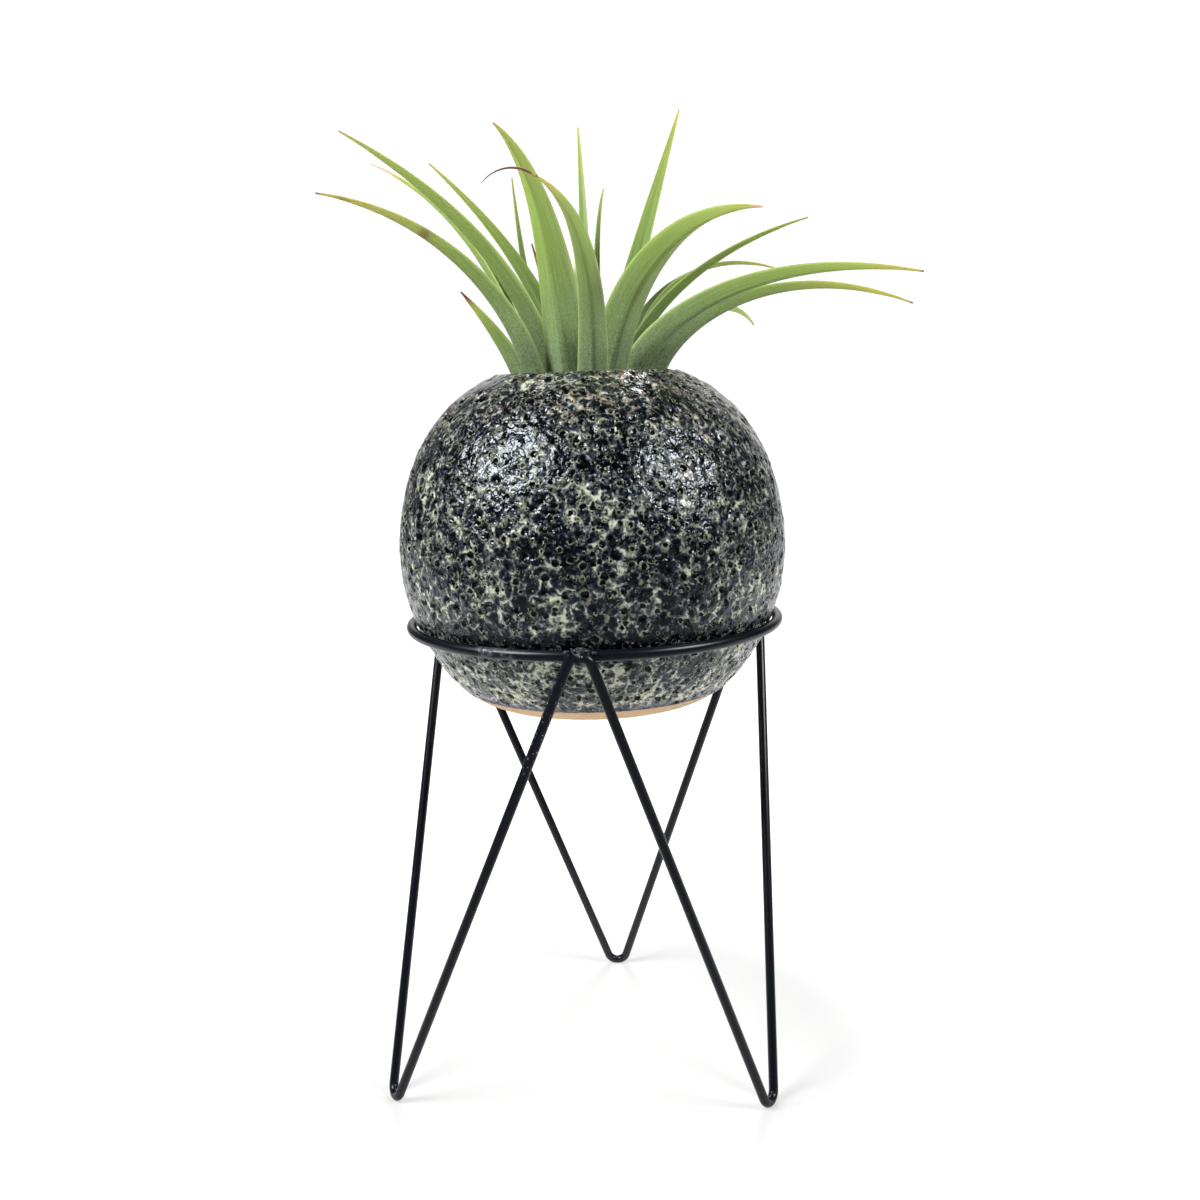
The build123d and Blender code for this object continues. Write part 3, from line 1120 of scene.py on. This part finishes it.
    def coat(self) -> bpy.types.Object:
        """Turns the glaze coat and pits it with burst bubbles.

        Returns:
            The coat, closed towards the clay.
        """
        obj = self.begin(*self.glaze_edge)
        for arc in self.outside(0):
            self.sweep(*arc, self.lip_spacing if arc[0] is self.lip_mid else self.glaze_spacing)
        for _ in range(self.neck_steps):
            self.run(0, -self.glaze_neck / self.neck_steps)
        self.run(self.glaze, 0)
        self.run(0, self.glaze_neck)
        for middle, radius, first, last in reversed(self.outside(self.glaze)):
            self.sweep(middle, radius, last, first, self.back_spacing)
        bpy.ops.mesh.select_all(action="SELECT")
        bpy.ops.mesh.remove_doubles(threshold=self.merge * MM)
        obj = self.turn(obj, "vase_glaze", self.glaze_turns)
        self.pit(obj)
        return settle(obj, "vase_glaze", sharp=80)

    def pit(self, obj: bpy.types.Object) -> None:
        """Sinks the craters into the coat's outer side and keeps each vertex's first place as an attribute.

        Args:
            obj: the turned coat.
        """
        tree = bpy.data.node_groups.new("glaze_pits", "GeometryNodeTree")
        for way in ("INPUT", "OUTPUT"):
            tree.interface.new_socket("Geometry", in_out=way, socket_type="NodeSocketGeometry")
        graph = Graph(tree)
        coat = graph.add("NodeGroupInput").outputs[0]
        place = graph.add("GeometryNodeInputPosition").outputs[0]
        outward = graph.add("GeometryNodeInputNormal").outputs[0]
        inputs = {"Geometry": coat, "Name": REST_PLACE, "Value": place}
        kept = graph.add("GeometryNodeStoreNamedAttribute", inputs, data_type="FLOAT_VECTOR", domain="POINT")
        craters = BIG_CRATERS.add(graph, place)
        lumps = graph.noise(place, self.lump_size, 2.0)
        sunk = graph.times(craters.pit, -self.pit_depth * MM)
        raised = graph.math("MULTIPLY_ADD", craters.rim, self.rim_height * MM, sunk)
        total = graph.math("ADD", raised, graph.span(lumps, 0, 1, self.lump_high * MM, self.lump_low * MM))
        outer = graph.add("GeometryNodeInputNamedAttribute", {"Name": "outer"}, data_type="FLOAT").outputs[0]
        inputs = {0: outward, "Scale": graph.times(total, outer)}
        offset = graph.add("ShaderNodeVectorMath", inputs, operation="SCALE").outputs[0]
        moved = graph.add("GeometryNodeSetPosition", {"Geometry": kept.outputs[0], "Offset": offset})
        graph.add("NodeGroupOutput", {0: moved.outputs[0]})
        places, normals = vertex_values(obj, "co"), vertex_values(obj, "normal")
        radius = np.hypot(places[:, 0], places[:, 1])
        out = (places[:, 0] * normals[:, 0] + places[:, 1] * normals[:, 1]) / radius
        up = normals[:, 2] * np.sign(places[:, 2] - self.equator * MM)
        share = np.clip((out + np.maximum(up, 0)) * 2, 0, 1)
        share *= radius > (self.mouth + self.smooth_lip) * MM
        share *= places[:, 2] > (self.glaze_edge[1] + self.smooth_edge) * MM
        mark(obj, outer=share)
        add_modifier(obj, "NODES", node_group=tree)


class LeafTone(Enum):
    """How far a leaf has ripened: golden share of its blade, dry share at its tip, and how bleached that tip is."""

    FRESH = (0.08, 0.003, 0.6)
    YELLOW_ENDED = (0.22, 0.01, 0.0)
    GOLDEN = (0.5, 0.02, 0.0)
    BROWN_ENDED = (0.3, 0.2, 0.0)
    PINK_ENDED = (0.2, 0.14, 1.0)
    CREAM_ENDED = (0.08, 0.05, 0.8)


@dataclass(frozen=True)
class Leaf:
    """One leaf, in the same measures as its solid, with its colour and its dry marks: along, across and size."""

    name: str
    angle: float
    spread: float
    length: float
    tip_lean: float
    curl: float
    sweep: float
    width: float
    roll: float
    tone: LeafTone = LeafTone.FRESH
    taper: float = 1.15
    marks: tuple[Point, ...] = ()


def roll_grid(around: int, rows: int) -> tuple[bpy.types.Object, np.ndarray, np.ndarray]:
    """Adds a flat grid that is to be rolled up.

    Args:
        around: faces around the roll.
        rows: faces along it.

    Returns:
        The grid, and each vertex's turn around the roll and its row.
    """
    clear_selection()
    bpy.ops.mesh.primitive_grid_add(x_subdivisions=around, y_subdivisions=rows, size=1)
    flat = vertex_values(bpy.context.object, "co") + 0.5
    return bpy.context.object, flat[:, 0] * math.tau, np.rint(flat[:, 1] * rows).astype(int)


@dataclass
class AirPlant:
    """Air plant: keeled leaves that fan out of a dry base through the vase's mouth."""

    mouth_radius: float = 18.0
    mouth_plane: float = 168.3
    leaf_gap: float = 0.1
    plate_depth: float = 22.0
    plate_fall: float = 4.0
    plate_lump: float = 2.2
    plate_lump_height: float = 0.7
    root_share: float = 0.6
    leaf_length: float = 70.0
    leaf_width: float = 7.0
    tip_width: float = 0.4
    channel: float = 0.36
    crease: float = 1.08
    swell: float = 0.15
    thin: float = 0.35
    tip_thick: float = 0.6
    tip_part: float = 1 / 8
    gold_share: float = 0.85
    gold_curve: float = 1.2
    dry_start: float = 1.6
    mark_share: float = 0.8
    around: int = 28
    rows: int = 84
    merge: float = 0.01
    sharp: float = 70
    tail_length: float = 10.4
    tail_wide: float = 0.55
    tail_taper: float = 0.75
    tail_end: float = 0.3
    tail_rise: float = 38
    tail_turn: float = 88
    tail_around: int = 12
    tail_rows: int = 40
    leaves: tuple[Leaf, ...] = (
        Leaf(
            *("leaf_left_short", 178, 0.98, 0.33, 36, 0.4, 0.04, 0.95, 35, LeafTone.BROWN_ENDED, 1.3),
            marks=((0.6, -0.9, 1.1),),
        ),
        Leaf(
            *("leaf_left_low", 205, 0.84, 0.9, 81, 0.9, -0.03, 1, 25, LeafTone.GOLDEN),
            marks=((0.62, 0.5, 1.1), (0.91, 0.0, 0.7)),
        ),
        Leaf("leaf_left_high", 172, 0.6, 0.97, 57, 0.8, 0.29, 1.07, 40, LeafTone.FRESH, 1.45),
        Leaf("leaf_left_behind", 157, 0.9, 1.01, 66, 1.1, 0, 0.79, 15, LeafTone.PINK_ENDED),
        Leaf("leaf_left_inner", 142, 0.45, 0.81, 37, 0.5, 0.23, 0.8, -20, LeafTone.FRESH, 1.4),
        Leaf("leaf_left_upright", 138, 0.9, 0.7, 9, 1.66, -0.02, 0.5, 0),
        Leaf("leaf_left_bud", 123, 0.75, 0.48, 17, 0.25, 0.03, 0.43, 0, LeafTone.BROWN_ENDED),
        Leaf("leaf_front_left", -122, 0.5, 0.82, 62, 3.0, -0.02, 1.6, 20, LeafTone.FRESH, 1.4),
        Leaf("leaf_front", -80, 0.84, 0.91, 84, 0.63, -0.21, 1, 0, LeafTone.YELLOW_ENDED),
        Leaf("leaf_front_right", -56, 0.66, 0.93, 98, 0.73, 0.02, 1.3, -15, LeafTone.CREAM_ENDED, 1.7),
        Leaf("leaf_middle_tall", 84, 0.18, 0.89, 34, 1.4, 0.06, 0.54, 0),
        Leaf("leaf_middle_short", 58, 0.27, 0.69, 45, 2.0, 0.11, 0.46, 0),
        Leaf("leaf_right_tall", 45, 0.5, 1.03, 32, 0.4, 0.11, 1, 25),
        Leaf("leaf_right_thin", 3, 0.55, 0.76, 77, 0.64, -0.18, 0.74, -15),
        Leaf("leaf_right_behind", 50, 0.78, 0.71, 111, 1.3, -0.27, 0.71, -15, LeafTone.YELLOW_ENDED),
        Leaf("leaf_right_long", -17, 0.76, 0.98, 100, 0.46, 0.07, 1.14, -35, LeafTone.YELLOW_ENDED),
        Leaf("leaf_right_low", 3, 1.0, 0.91, 112, 0.6, -0.06, 0.86, -30, LeafTone.GOLDEN),
        Leaf("leaf_right_droop", 25, 0.93, 0.69, 113, 0.7, 0.37, 0.79, -20, LeafTone.YELLOW_ENDED),
        Leaf("leaf_back", 98, 0.78, 0.6, 70, 1.0, 0, 0.79, 0),
        Leaf("leaf_back_right", 73, 0.93, 0.51, 95, 0.8, 0, 0.79, 0, LeafTone.YELLOW_ENDED),
        Leaf("leaf_back_left", 121, 0.96, 0.54, 85, 0.8, 0, 0.71, 0),
    )

    def build(self) -> None:
        """Builds and dresses the base and every leaf."""
        dress(self.base(), DryBase().material(), "plant", "dry_leaf_base", "basal_plate")
        skin = LeafSkin().material()
        for leaf in self.leaves:
            dress(self.blade(leaf), skin, "plant", "leaf", leaf.name)
        dress(self.tail("leaf_front"), skin, "plant", "leaf")

    def base(self) -> bpy.types.Object:
        """Makes the plant's dry base from a cone, with a sloping roof and an uneven skin.

        Returns:
            The base.
        """
        low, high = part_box("basal_plate")
        clear_selection()
        bpy.ops.mesh.primitive_cone_add(
            vertices=96, radius1=high.x / 2, radius2=high.x, depth=high.z - low.z, location=(0, 0, (high.z + low.z) / 2)
        )
        obj = bpy.context.object
        bake_place()
        edit_all()
        bpy.ops.mesh.subdivide(number_cuts=5)
        bpy.ops.object.mode_set(mode="OBJECT")
        slope = self.plate_fall / (self.mouth_radius * self.root_share)
        for vertex in obj.data.vertices:
            vertex.co.z = min(vertex.co.z, high.z - slope * math.hypot(vertex.co.x, vertex.co.y))
        add_lumps(obj, self.plate_lump, self.plate_lump_height, middle=0.8)
        return settle(obj, "plant_base", sharp=60)

    def spine(self, leaf: Leaf) -> tuple[np.ndarray, ...]:
        """Follows a leaf's middle line, straight to the mouth and then leaning over.

        Args:
            leaf: the leaf.

        Returns:
            For each row its place, side, inward direction, width, and share of the way above the mouth.
        """
        length = leaf.length * self.leaf_length
        sweep = leaf.sweep * self.leaf_length
        full = leaf.width * self.leaf_width
        reach = leaf.spread * (self.mouth_radius - self.leaf_gap - (self.thin + self.swell * full) / 2)
        rise = self.plate_depth + self.plate_fall * leaf.spread
        out = np.array(polar(leaf.angle, 1, 0))
        side = np.array(polar(leaf.angle + 90, 1, 0))
        up = np.array((0.0, 0.0, 1.0))
        lean_in = math.atan2(reach * (1 - self.root_share), rise)
        lean_more = math.radians(leaf.tip_lean) - lean_in
        shank = math.hypot(reach * (1 - self.root_share), rise)
        steps = 400
        lean = lean_in + lean_more * ((np.arange(steps) + 0.5) / steps) ** leaf.curl
        far = np.concatenate(([0], np.cumsum(np.sin(lean)))) * length / steps + reach
        tall = np.concatenate(([0], np.cumsum(np.cos(lean)))) * length / steps + self.mouth_plane
        distance = np.linspace(0, shank + length, self.rows + 1)
        above = np.clip((distance - shank) / length, 0, 1)
        below = np.clip(distance / shank, 0, 1)
        root = self.root_share + (1 - self.root_share) * below
        grid = np.linspace(0, 1, steps + 1)
        radius = np.where(below < 1, reach * root, np.interp(above, grid, far))
        height = np.where(below < 1, self.mouth_plane - rise * (1 - below), np.interp(above, grid, tall))
        lean_at = (lean_in + lean_more * above**leaf.curl)[:, None]
        place = radius[:, None] * out + (sweep * above**2)[:, None] * side + height[:, None] * up
        along = np.sin(lean_at) * out + np.cos(lean_at) * up + (2 * sweep * above / length)[:, None] * side
        along /= np.linalg.norm(along, axis=1)[:, None]
        across = side - along * (along @ side)[:, None]
        across /= np.linalg.norm(across, axis=1)[:, None]
        roll = math.radians(leaf.roll)
        across = across * math.cos(roll) + np.cross(along, across) * math.sin(roll)
        tapered = self.tip_width + (full - self.tip_width) * (1 - above**leaf.taper)
        return place, across, np.cross(along, across), np.where(below < 1, full * root, tapered), above

    def blade(self, leaf: Leaf) -> bpy.types.Object:
        """Rolls a grid into a leaf with a keel outside and a channel inside, and marks its parts.

        Args:
            leaf: the leaf.

        Returns:
            The leaf, closed at its root and tip.
        """
        obj, turn, row = roll_grid(self.around, self.rows)
        place, across, inward, wide, tip = (values[row] for values in self.spine(leaf))
        aside = -np.cos(turn)
        face = np.sin(turn)
        thick = (self.thin + self.swell * wide) * np.clip((1 - tip) / self.tip_part, self.tip_thick, 1)
        fold = self.channel * wide * np.abs(aside) ** self.crease
        points = place + across * (aside * wide / 2)[:, None] + inward * (fold - face * thick / 2)[:, None]
        obj.data.vertices.foreach_set("co", (points * MM).ravel())
        golden, dry, bleached = leaf.tone.value
        dried = np.clip((tip - 1 + dry) / dry * self.dry_start, 0, 1)
        for along, sideways, size in leaf.marks:
            away = np.hypot((tip - along) * leaf.length * self.leaf_length, (aside - sideways) * wide / 2)
            dried = np.maximum(dried, self.mark_share * np.exp(-((away / size) ** 2)))
        mark(
            obj,
            along=tip,
            across=aside,
            inner=np.clip(0.5 - face * 1.2, 0, 1),
            golden=np.clip((tip - 1 + golden) / golden, 0, 1) ** self.gold_curve * self.gold_share,
            dried=dried,
            blush=np.full(len(tip), bleached),
        )
        close_up(self.merge)
        return settle(obj, "plant_" + leaf.name, self.sharp)

    def tail(self, name: str) -> bpy.types.Object:
        """Rolls a grid into the dry thread that a withered leaf ends in, curled over to the left.

        Args:
            name: the leaf that carries it.

        Returns:
            The thread, closed at both ends.
        """
        leaf = next(one for one in self.leaves if one.name == name)
        tip = self.spine(leaf)[0][-1]
        obj, turn, row = roll_grid(self.tail_around, self.tail_rows)
        share = np.linspace(0, 1, self.tail_rows + 1)
        level = np.zeros(self.tail_rows + 1)
        rise = np.radians(self.tail_rise - self.tail_turn * share)
        ahead = np.stack((-np.cos(rise), level, np.sin(rise)), axis=1)
        normal = np.stack((np.sin(rise), level, np.cos(rise)), axis=1)
        steps = np.concatenate((np.zeros((1, 3)), np.cumsum(ahead[:-1], axis=0)))
        middle = tip + steps * self.tail_length / self.tail_rows
        thick = self.tail_wide / 2 * (1 - self.tail_taper * share) * np.where(share == 1, self.tail_end, 1)
        points = middle[row] + normal[row] * (thick[row] * np.cos(turn))[:, None]
        points[:, 1] += thick[row] * np.sin(turn)
        obj.data.vertices.foreach_set("co", (points * MM).ravel())
        for label, value in (("along", 1.0), ("across", 0.0), ("inner", 0.0), ("golden", 0.5), ("blush", 0.0)):
            mark(obj, **{label: np.full(len(row), value)})
        mark(obj, dried=np.clip(0.35 + share[row] * 6, 0, 1))
        close_up(self.merge)
        return settle(obj, "plant_" + name + "_tail", self.sharp)


# Stage


@dataclass(frozen=True)
class Softbox:
    """One soft lamp: its name, place, width and watts."""

    name: str
    place: Point
    size: float
    power: float


@dataclass
class Studio:
    """White floor, soft lamps and the camera. The spans of the floor are in metres."""

    eye: Point = (20.6, -281.38, 163.9)
    azimuth: float = 4.187
    pitch: float = 9.632
    roll: float = -1.645
    focal: float = 36.0
    sensor: float = 36.0
    shift: float = 0.005
    ambient: float = 0.09
    mirrored: float = 0.03
    floor_white: Span = (0.055, 0.1, 0.985, 0.5)
    floor_pale: Span = (0, 1, 0.3, 0.16)
    mirror_depth: Span = (-0.12, 0.06, 0.98, 0.03)
    mirror_width: Span = (1.1, 0.5, 1, 0.1)
    lamp_target: Point = (0, 0, 140)
    lamps: tuple[Softbox, ...] = (
        Softbox("left_softbox", (-380, -235, 530), 280, 5.8),
        Softbox("right_softbox", (455, -205, 470), 200, 3.2),
        Softbox("top_softbox", (0, 600, 650), 300, 4.6),
    )

    def build(self) -> None:
        """Builds the floor, the world, the lamps and the camera."""
        sweep = self.sweep()
        sweep.data.materials.append(self.white())
        self.world()
        for lamp in self.lamps:
            self.hang(lamp)
        self.camera()
        bpy.context.scene.view_settings.view_transform = "Standard"

    def sweep(self) -> bpy.types.Object:
        """Lays a floor that rises into a backdrop.

        Returns:
            The floor.
        """
        clear_selection()
        bpy.ops.mesh.primitive_plane_add(size=4, location=(0, -0.7, 0))
        sweep = bpy.context.object
        bpy.ops.object.mode_set(mode="EDIT")
        bpy.ops.mesh.select_mode(type="EDGE")
        bpy.ops.mesh.select_all(action="DESELECT")
        bpy.ops.object.mode_set(mode="OBJECT")
        for edge in sweep.data.edges:
            edge.select = all(sweep.data.vertices[i].co.y > 0 for i in edge.vertices)
        bpy.ops.object.mode_set(mode="EDIT")
        bpy.ops.mesh.spin(steps=16, angle=math.pi / 2, center=(0, 1.3, 0.4), axis=(-1, 0, 0))
        bpy.ops.mesh.extrude_region_move(TRANSFORM_OT_translate={"value": (0, 0, 2.0)})
        bpy.ops.object.mode_set(mode="OBJECT")
        return settle(sweep, "studio_sweep")

    def white(self) -> bpy.types.Material:
        """Builds the floor's white, which keeps a faint shadow near the feet; reflections show it dim in front.

        Returns:
            The material.
        """
        made, graph = start_finish("white_studio_sweep")
        place = graph.place()
        parts = graph.add("ShaderNodeSeparateXYZ", {0: place}).outputs
        path = graph.add("ShaderNodeLightPath").outputs
        seen = path["Is Camera Ray"]
        mirrored = graph.math("MAXIMUM", path["Is Glossy Ray"], path["Is Transmission Ray"])
        behind = graph.span(parts[1], *self.mirror_depth, soft=True)
        middle = graph.span(graph.math("ABSOLUTE", parts[0]), *self.mirror_width, soft=True)
        away = graph.add("ShaderNodeVectorMath", {0: place}, operation="LENGTH").outputs["Value"]
        white = graph.times(seen, graph.span(away, *self.floor_white, soft=True))
        shine = graph.math("MULTIPLY_ADD", mirrored, graph.times(behind, middle), white)
        faint = graph.add("ShaderNodeBsdfDiffuse", {"Color": graph.span(seen, *self.floor_pale)})
        glow = graph.add("ShaderNodeEmission", {"Color": (1, 1, 1, 1), "Strength": shine})
        lit = graph.add("ShaderNodeAddShader", {0: faint.outputs[0], 1: glow.outputs[0]})
        plain = graph.add("ShaderNodeBsdfDiffuse", {"Color": (0.85, 0.85, 0.85, 1)})
        shown = graph.math("MAXIMUM", seen, mirrored)
        mixed = graph.add("ShaderNodeMixShader", {0: shown, 1: plain.outputs[0], 2: lit.outputs[0]})
        graph.add("ShaderNodeOutputMaterial", {"Surface": mixed.outputs[0]})
        return made

    def world(self) -> None:
        """Gives the scene dim light from all sides, white to the camera and darker in reflections."""
        world = bpy.data.worlds.new("dim_studio")
        world.use_nodes = True
        bpy.context.scene.world = world
        graph = Graph(world.node_tree)
        path = graph.add("ShaderNodeLightPath").outputs
        level = graph.span(path["Is Camera Ray"], 0, 1, 1, self.ambient)
        dimmed = graph.math("MULTIPLY_ADD", path["Is Glossy Ray"], self.mirrored - self.ambient, level)
        sky = graph.add("ShaderNodeBackground", {"Color": (1, 1, 1, 1), "Strength": dimmed})
        graph.add("ShaderNodeOutputWorld", {"Surface": sky.outputs[0]})

    def hang(self, lamp: Softbox) -> None:
        """Hangs one soft lamp that points at the vase.

        Args:
            lamp: the lamp.
        """
        data = bpy.data.lights.new(lamp.name, "AREA")
        data.size = lamp.size * MM
        data.energy = lamp.power
        obj = bpy.data.objects.new(lamp.name, data)
        obj.location = Vector(lamp.place) * MM
        obj.rotation_euler = (Vector(self.lamp_target) - Vector(lamp.place)).to_track_quat("-Z", "Y").to_euler()
        bpy.context.scene.collection.objects.link(obj)

    def camera(self) -> None:
        """Sets the camera where the photograph was taken from."""
        turn, tip, roll = (math.radians(a) for a in (self.azimuth, self.pitch, self.roll))
        ahead = Vector((-math.sin(turn) * math.cos(tip), math.cos(turn) * math.cos(tip), -math.sin(tip)))
        level = Vector((math.cos(turn), math.sin(turn), 0))
        top = level.cross(ahead)
        right = level * math.cos(roll) + top * math.sin(roll)
        up = top * math.cos(roll) - level * math.sin(roll)
        data = bpy.data.cameras.new("camera")
        data.lens = self.focal
        data.sensor_width = self.sensor
        data.shift_x = self.shift
        data.clip_start = 0.01
        camera = bpy.data.objects.new("camera", data)
        axes = Matrix((right, up, -ahead)).transposed()
        camera.matrix_world = Matrix.Translation(Vector(self.eye) * MM) @ axes.to_4x4()
        bpy.context.scene.collection.objects.link(camera)
        bpy.context.scene.camera = camera


def main() -> None:
    """Builds the holder and its stage."""
    logging.basicConfig(level=logging.INFO, format="%(name)s %(message)s")
    WireStand().build()
    CraterVase().build()
    AirPlant().build()
    Studio().build()
    clear_selection()


if __name__ == "__main__":
    main()
